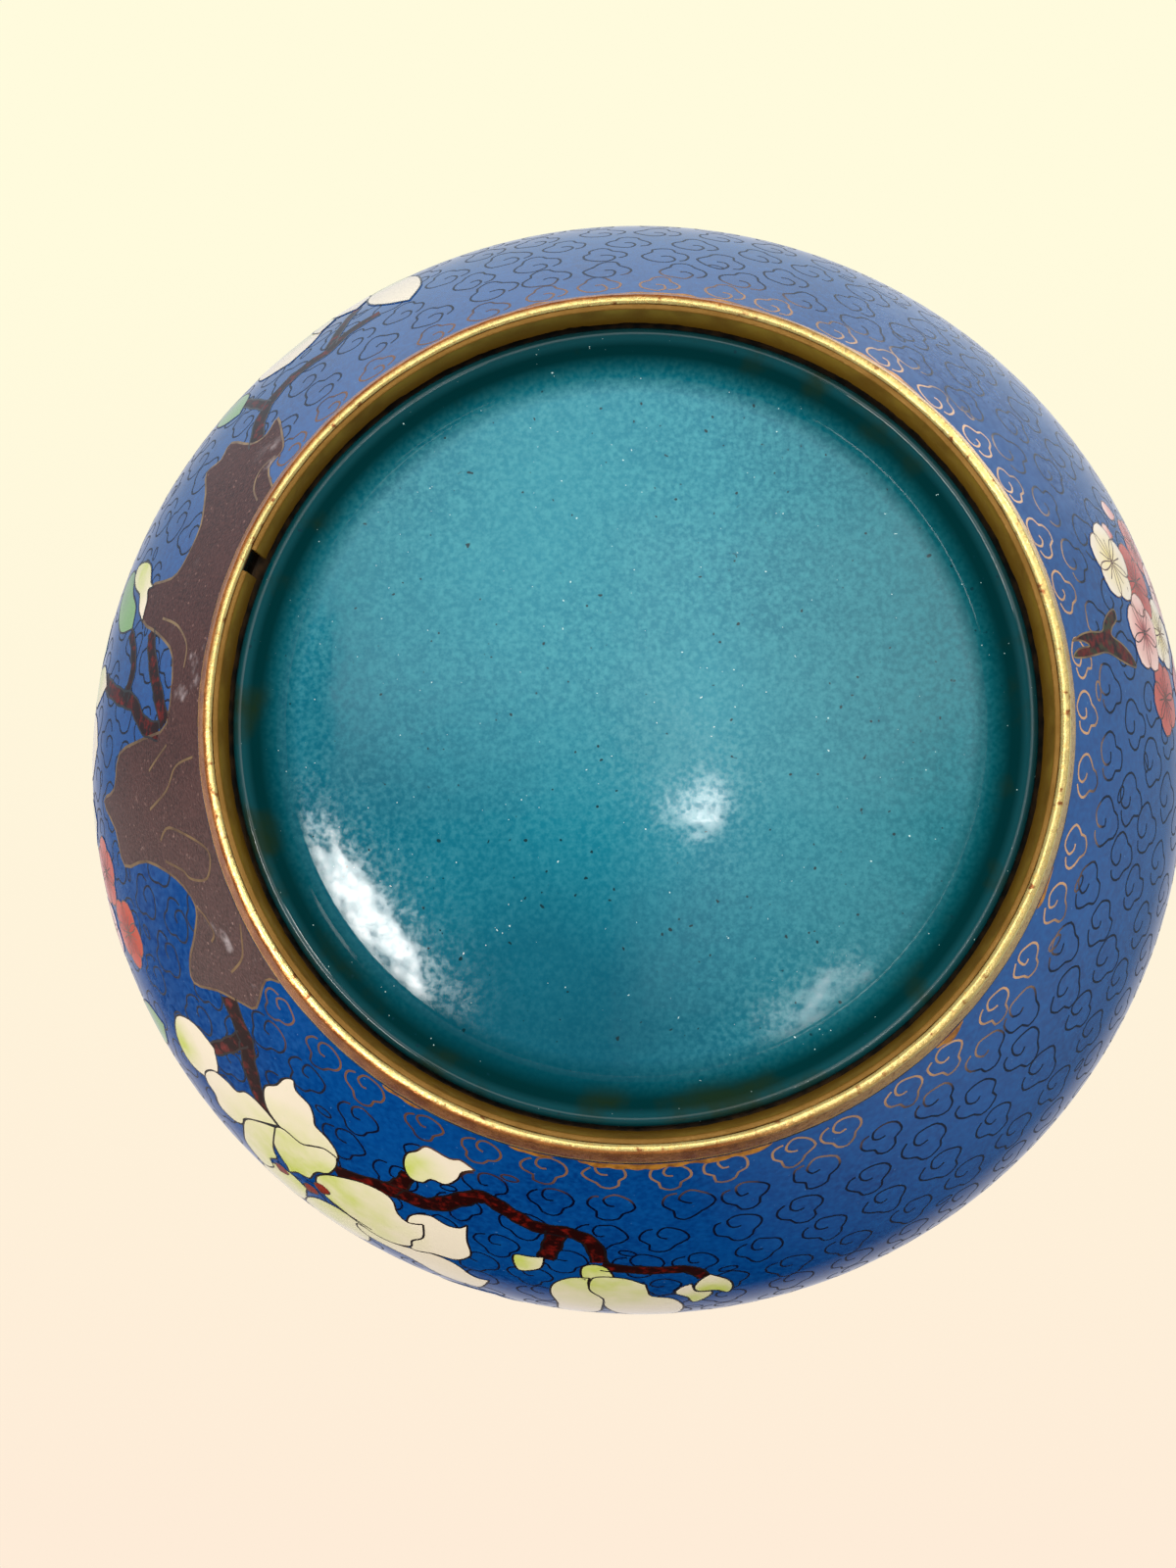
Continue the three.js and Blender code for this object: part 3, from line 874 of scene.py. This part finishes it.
def lay_cells(name, heart, size, outlines, material):
    """Cells of enamel inside their wires, tinted by how near they are to the flower's heart."""
    whole = bmesh.new()
    whole.verts.layers.float.new("tint")
    for i, outline in enumerate(outlines):
        near = heart or outline[len(outline) // 2]
        degree = math.radians(flank_radius(outline[0][1]))
        line = smooth([Vector(here) for here in outline + outline[:1]], 4)
        lift = petal_lift + petal_step * i

        def tinted(here):
            return max(1 - math.hypot((here.x - near[0]) * degree, here.y - near[1]) / size, 0)

        cell = lay_inlay(line[:-1], lift, 1.6, tinted)
        part = bpy.data.meshes.new(name + "_cell")
        cell.to_mesh(part)
        cell.free()
        whole.from_mesh(part)
        bpy.data.meshes.remove(part)
        ribbon(outline_mesh, line, wire_width, lift + edge_over)
    return finish_piece(name, whole, [material])


lay_cells("main_magnolia", (126, 41), 24, main_flower, magnolia_opal)
lay_cells("magnolia_buds", None, 9, buds, magnolia_opal)
lay_cells("second_magnolia", (93, 33), 22, second_flower, magnolia_opal)
lay_cells("side_magnolias", None, 12, side_petals, magnolia_opal)

leaf_green = opal("leaf_green", paint(64, 116, 60), paint(128, 170, 108))
leaves = [
    [(192.4, 32.6), (195, 34), (196.8, 39), (199.4, 44), (198, 49), (195, 46.5), (192.2, 40)],
    [(220, 36), (222.6, 41), (222.2, 47), (220, 51.5), (217.8, 46), (218.2, 40)],
    [(190.5, 51), (193.5, 54), (194.5, 60), (191.5, 63), (189, 58)],
    [(149, 47), (152, 51), (152.6, 58), (149.5, 61), (147.4, 54)],
]
lay_cells("magnolia_leaves", None, 9, leaves, leaf_green)
red_enamel = opal("calyx_red", paint(110, 30, 18), paint(150, 52, 34))
calyx = [(124.4, 42.4, 124.6, 38.8, 3.2), (125.8, 46, 125.4, 42.6, 3.0), (129.4, 47.8, 129.2, 44.6, 3.0)]
lay_petals("magnolia_calyx", calyx, red_enamel, [petal_lift + petal_step * 9] * len(calyx))
petal_fold = smooth([Vector((118, 44.6)), Vector((120.5, 44)), Vector((123.2, 43.3))], 4)
ribbon(outline_mesh, petal_fold, wire_width, petal_lift + petal_step * 11)

# The prunus twig and blossoms
# A short mottled twig with a forked end near the foot, and five-petalled blossoms of white, pink
# and red enamel with thin dark stamens. A few red ones grow on the trunk's side too.
prunus_lift = 0.03
blossom_step = 0.006
prunus_step = 0.001
stamen_over = 0.008
petal_breadth = 0.95
blossom_petals = 5
stamen_shares = (0.12, 0.35, 0.58)
twig_edge_width = 0.32
prunus_twig = [(350.4, 1.9), (349.5, 5.4), (349.1, 8.9), (349.0, 13.2), (347.8, 15.0), (346.7, 17.7),
               (346.3, 20.4), (347.5, 20.3), (348.5, 17.6), (349.5, 16.9), (350.4, 20.2), (351.6, 23.2),
               (353.0, 24.6), (352.6, 19.7), (351.6, 13.8), (352.0, 9.3), (352.5, 4.6), (352.5, 1.4),
               (351.4, 3.6), (350.9, 7.6), (350.3, 5.0)]
twig_line = smooth([Vector(here) for here in prunus_twig + prunus_twig[:1]], 4)
prunus_mesh = lay_inlay(twig_line[:-1], branch_lift, 1.6)
twig_wire_mesh = bmesh.new()
ribbon(twig_wire_mesh, twig_line, twig_edge_width, branch_lift + edge_over)
finish_piece("twig_wires", twig_wire_mesh, [bark_gold])
twig_enamel = new_material("twig_enamel", 0.3, mirror=0.12)
twig_grains = spread(twig_enamel, blotches(twig_enamel, 1.2, 4, 2), 0.42, 0.6)
twig_green = spread(twig_enamel, blotches(twig_enamel, 1.6, 4, 7), 0.5, 0.62)
twig_red = blend_colours(twig_enamel, twig_grains, paint(30, 8, 4), paint(100, 20, 10))
coat(twig_enamel, blend_colours(twig_enamel, twig_green, twig_red, paint(56, 58, 32)))
finish_piece("prunus_twig", prunus_mesh, [twig_enamel])

blossom_colours = {
    "white": opal("prunus_white", paint(250, 232, 150), paint(250, 238, 222)),
    "pink": opal("prunus_pink", paint(214, 96, 92), paint(250, 214, 204)),
    "red": opal("prunus_red", paint(180, 50, 36), paint(204, 88, 64)),
}
blossoms = [
    (338.6, 45.0, "red", 5.6, 0.0), (347.8, 57.0, "white", 6.4, 0.6), (343.8, 50.5, "pink", 6.2, 0.2),
    (354.2, 52.5, "red", 6.2, 0.7), (348.6, 42.4, "white", 6.6, 0.3), (355.9, 37.8, "red", 6.6, 1.1),
    (343.0, 35.6, "red", 7.2, 0.5), (348.9, 32.0, "pink", 7.0, 0.55), (340.6, 26.8, "white", 7.2, 0.45),
    (159.2, 43.0, "red", 6.6, 0.4), (166.4, 48.0, "red", 6.6, 1.0), (161.0, 56.0, "pink", 6.0, 0.2),
]
blossom_buds = [(335.2, 41.5, 334.0, 36.0, 3.8), (337.6, 33.5, 336.4, 29.8, 3.0)]
for colour, material in blossom_colours.items():
    petals = []
    lifts = []
    for rank, (angle, climb, chosen, size, start) in enumerate(blossoms):
        if chosen != colour:
            continue
        degree = math.radians(flank_radius(climb))
        for i in range(blossom_petals):
            turn = start + math.tau * i / blossom_petals
            reach_out = Vector((math.cos(turn) / degree, math.sin(turn))) * size
            petals.append((angle, climb, angle + reach_out.x, climb + reach_out.y, size * petal_breadth))
            lifts.append(prunus_lift + blossom_step * rank + prunus_step * i)
            stamen = [Vector((angle, climb)) + reach_out * share for share in stamen_shares]
            ribbon(fine_mesh, stamen, fine_width, lifts[-1] + stamen_over - prunus_step * i)
    if colour == "pink":
        petals += blossom_buds
        lifts += [prunus_lift] * len(blossom_buds)
    lay_petals("prunus_" + colour, petals, material, lifts)

dark_wire = new_material("outline_wire", 0.3, 0.3)
dark_patches = spread(dark_wire, blotches(dark_wire, 5, 4, 4), 0.4, 0.65)
dark_base = blend_colours(dark_wire, dark_patches, paint(44, 26, 20), paint(22, 16, 22))
dark_rise = on_axis(dark_wire, "Z", 6, 13)
coat(dark_wire, blend_colours(dark_wire, dark_rise, paint(176, 122, 74), dark_base))
finish_piece("picture_wires", outline_mesh, [dark_wire])
fine_wire = new_material("fine_wire", 0.35, 0.2)
fine_patches = spread(fine_wire, blotches(fine_wire, 4, 4, 4), 0.4, 0.65)
coat(fine_wire, blend_colours(fine_wire, fine_patches, paint(108, 70, 50), paint(62, 44, 40)))
finish_piece("fine_wires", fine_mesh, [fine_wire])

# The solder by the foot
# Hard solder and gilding that ran out from under the ring and stayed on the enamel's edge, in thin
# ragged patches of brown gold.
solder_runs = [(43, 48, 1.8), (72, 84, 1.6), (82, 97, 2.0), (100, 106, 1.2), (254, 262, 1.2),
               (268, 290, 1.2), (20, 26, 1.0), (118, 124, 1.0), (300, 312, 1.2)]
solder_lift = 0.05
solder_thinnest = 0.05
solder_mesh = bmesh.new()
for start, end, depth in solder_runs:
    steps = int(end - start) * 3
    line = []
    widths = []
    for i in range(steps + 1):
        share = i / steps
        ragged = 0.7 + 0.7 * noise.noise(Vector((start + share * (end - start), depth, 0)) * 0.45)
        wide = max(depth * ragged * math.sin(math.pi * share) ** 0.5, solder_thinnest)
        line.append(Vector((start + share * (end - start), wide / 2)))
        widths.append(wide)
    ribbon(solder_mesh, line, widths, solder_lift)
solder = new_material("solder", 0.4, 0.35)
solder_patches = spread(solder, blotches(solder, 1.4, 5, 2), 0.4, 0.62)
coat(solder, blend_colours(solder, solder_patches, paint(210, 142, 48), paint(148, 90, 32)))
finish_piece("solder_runs", solder_mesh, [solder])

# The stage
# A pale floor under the foot, seen from above, and a pale table over the mouth for the view into the
# foot. Three planes share the table's place: what the camera sees of it, the light that it throws,
# and its mirror image in the enamel. Soft boxes, windows and ceiling lamps light the bowl.
stage_size = 6.0
table_height = 92.6


def stage_plane(name, height_mm, facing_up, camera=True, diffuse=False, glossy=False):
    """A square plane that throws no shadow and is met by the chosen kinds of rays."""
    bm = bmesh.new()
    bmesh.ops.create_grid(bm, x_segments=1, y_segments=1, size=stage_size / 2)
    if not facing_up:
        bmesh.ops.reverse_faces(bm, faces=bm.faces)
    bmesh.ops.translate(bm, verts=bm.verts, vec=(0, 0, height_mm * mm))
    mesh = bpy.data.meshes.new(name)
    bm.to_mesh(mesh)
    bm.free()
    plane = bpy.data.objects.new(name, mesh)
    bpy.context.scene.collection.objects.link(plane)
    plane.visible_shadow = False
    plane.visible_camera = camera
    plane.visible_diffuse = diffuse
    plane.visible_glossy = glossy
    return plane


def one_sided(material, shader):
    """Shows a stage surface on its front only."""
    tree = material.node_tree
    side = tree.nodes.new("ShaderNodeNewGeometry")
    clear = tree.nodes.new("ShaderNodeBsdfTransparent")
    choice = tree.nodes.new("ShaderNodeMixShader")
    tree.links.new(side.outputs["Backfacing"], choice.inputs["Fac"])
    tree.links.new(shader.outputs[0], choice.inputs[1])
    tree.links.new(clear.outputs[0], choice.inputs[2])
    tree.links.new(choice.outputs[0], tree.nodes["Material Output"].inputs["Surface"])


def glow(material, colour, strength=1.0):
    """Makes a paper shine by itself, in a paint or a blend."""
    light = material.node_tree.nodes.new("ShaderNodeEmission")
    light.inputs["Strength"].default_value = strength
    if isinstance(colour, tuple):
        light.inputs["Color"].default_value = colour
    else:
        material.node_tree.links.new(colour, light.inputs["Color"])
    one_sided(material, light)


floor = stage_plane("floor", 0, facing_up=True)
floor.visible_transmission = False
floor_paper = new_material("floor_paper", 0.8)
floor_shader = floor_paper.node_tree.nodes["Principled BSDF"]
floor_shader.inputs["Base Color"].default_value = paint(238, 232, 222)
one_sided(floor_paper, floor_shader)
floor.data.materials.append(floor_paper)

table = stage_plane("table", table_height, facing_up=False)
table_paper = new_material("table_paper", 0.8)
# The table the camera sees glows by itself in cream, with a painted faint shadow: pinker and darker towards
# +Y.
table_shadow_side = on_axis(table_paper, "Y", -120, 160)
glow(table_paper, blend_colours(table_paper, table_shadow_side, paint(255, 251, 221), paint(254, 236, 216)))
table.data.materials.append(table_paper)

bounce = stage_plane("table_bounce", table_height, facing_up=False, camera=False, diffuse=True)
bounce_paper = new_material("bounce_paper", 0.8)
glow(bounce_paper, paint(255, 250, 240), 0.4)
bounce.data.materials.append(bounce_paper)

sheen = stage_plane("table_sheen", table_height, facing_up=False, camera=False, glossy=True)
sheen_paper = new_material("sheen_paper", 0.8)
sheen_up = on_axis(sheen_paper, "Y", 80, -200)
sheen_right = on_axis(sheen_paper, "X", 50, 250)
sheen_far = from_centre(sheen_paper, 145, 190)
sheen_sky = blend_colours(sheen_paper, sheen_up, paint(10, 26, 36), paint(226, 244, 255))
sheen_side = blend_colours(sheen_paper, sheen_right, sheen_sky, paint(166, 186, 194))
glow(sheen_paper, blend_colours(sheen_paper, sheen_far, paint(236, 232, 236), sheen_side))
sheen.data.materials.append(sheen_paper)

ceiling = -0.60


def soft_box(name, place, width, depth, watts, shining=True, target=(0, 0, 0.02)):
    """A warm white box of light, aimed at a target. If it isn't shining, no surface mirrors it."""
    light = bpy.data.lights.new(name, "AREA")
    light.shape = "RECTANGLE"
    light.size = width
    light.size_y = depth
    light.energy = watts
    light.color = (1.0, 0.97, 0.92)
    lamp = bpy.data.objects.new(name, light)
    lamp.location = place
    lamp.rotation_euler = (Vector(target) - Vector(place)).to_track_quat("-Z", "Y").to_euler()
    lamp.visible_glossy = shining
    bpy.context.scene.collection.objects.link(lamp)
    return lamp


def ceiling_lamp(name, place, width, depth, degrees, watts):
    """A level lamp on the ceiling, turned by an angle, that mirrors in the base enamel."""
    lamp = soft_box(name, (*place, ceiling), width, depth, watts)
    lamp.rotation_euler = (math.pi, 0, math.radians(degrees))
    return lamp


light_layers = 5
layer_gap = 0.003
box_start = -0.329
for layer in range(light_layers):
    depth = 0.31 - 0.02 * layer
    middle = Vector((0.026, box_start + depth / 2, ceiling - layer_gap * layer))
    soft_box(f"ceiling_box_{layer}", middle, 0.45, depth, 0.345 * depth, target=middle.xy.to_3d())
for layer in range(light_layers):
    width = 0.25 - 0.03 * layer
    depth = width * 1.5
    middle = Vector((0.115, -0.052, ceiling - 0.02 - layer_gap * layer))
    soft_box(f"ceiling_glow_{layer}", middle, width, depth, 0.52 * width * depth, target=middle.xy.to_3d())
ceiling_lamp("lamp_bar", (0.037, -0.058), width=0.06, depth=0.02, degrees=41, watts=0.11)
ceiling_lamp("lamp_end", (0.053, -0.028), width=0.03, depth=0.013, degrees=100, watts=0.04)
ceiling_lamp("lamp_spot", (0.034, -0.024), width=0.012, depth=0.012, degrees=20, watts=0.014)
ceiling_lamp("left_pane", (-0.181, 0.050), width=0.17, depth=0.036, degrees=53, watts=0.6)
ceiling_lamp("right_pane", (0.127, 0.109), width=0.08, depth=0.03, degrees=148, watts=0.07)
soft_box("window_pane", (0.55, -0.55, -0.90), width=0.12, depth=0.16, watts=1.2)
soft_box("window", (0.55, -0.55, -0.60), width=0.42, depth=0.5, watts=4.8, shining=False)
soft_box("left_window", (-0.90, 0.0, -0.30), width=0.3, depth=0.3, watts=5, shining=False)
soft_box("room_fill", (0.2, 1.0, -0.32), width=0.5, depth=0.3, watts=5, shining=False)
soft_box("near_lamp", (-0.05, -0.22, -0.28), width=0.1, depth=0.1, watts=0.25, shining=False)
soft_box("studio_key", (0.9, -1.0, 1.3), width=0.9, depth=0.9, watts=26)
soft_box("studio_fill", (-1.2, 0.5, 0.9), width=0.9, depth=0.9, watts=10)

world = bpy.data.worlds.new("pale_room")
world.use_nodes = True
room = world.node_tree.nodes["Background"]
room.inputs["Color"].default_value = paint(238, 236, 232)
room.inputs["Strength"].default_value = 0.2
bpy.context.scene.world = world
bpy.context.scene.view_settings.view_transform = "Standard"

# The camera
# It looks straight up into the foot, from where the photograph was taken over the upturned bowl,
# through a phone's wide lens.
camera_place = Vector((-0.89, 24.4, -166.34)) * mm
camera_pitch = math.radians(-4.799)
camera_yaw = math.radians(1.836)
camera_turn = Matrix.Rotation(camera_pitch, 3, "X") @ Matrix.Rotation(camera_yaw, 3, "Y")
camera_right, camera_down, camera_ahead = camera_turn
lens = bpy.data.cameras.new("camera")
lens.lens = 27
lens.sensor_width = 36
lens.clip_start = 0.01
camera = bpy.data.objects.new("camera", lens)
camera_axes = Matrix((camera_right, -camera_down, -camera_ahead)).transposed()
camera.matrix_world = Matrix.Translation(camera_place) @ camera_axes.to_4x4()
bpy.context.scene.collection.objects.link(camera)
bpy.context.scene.camera = camera
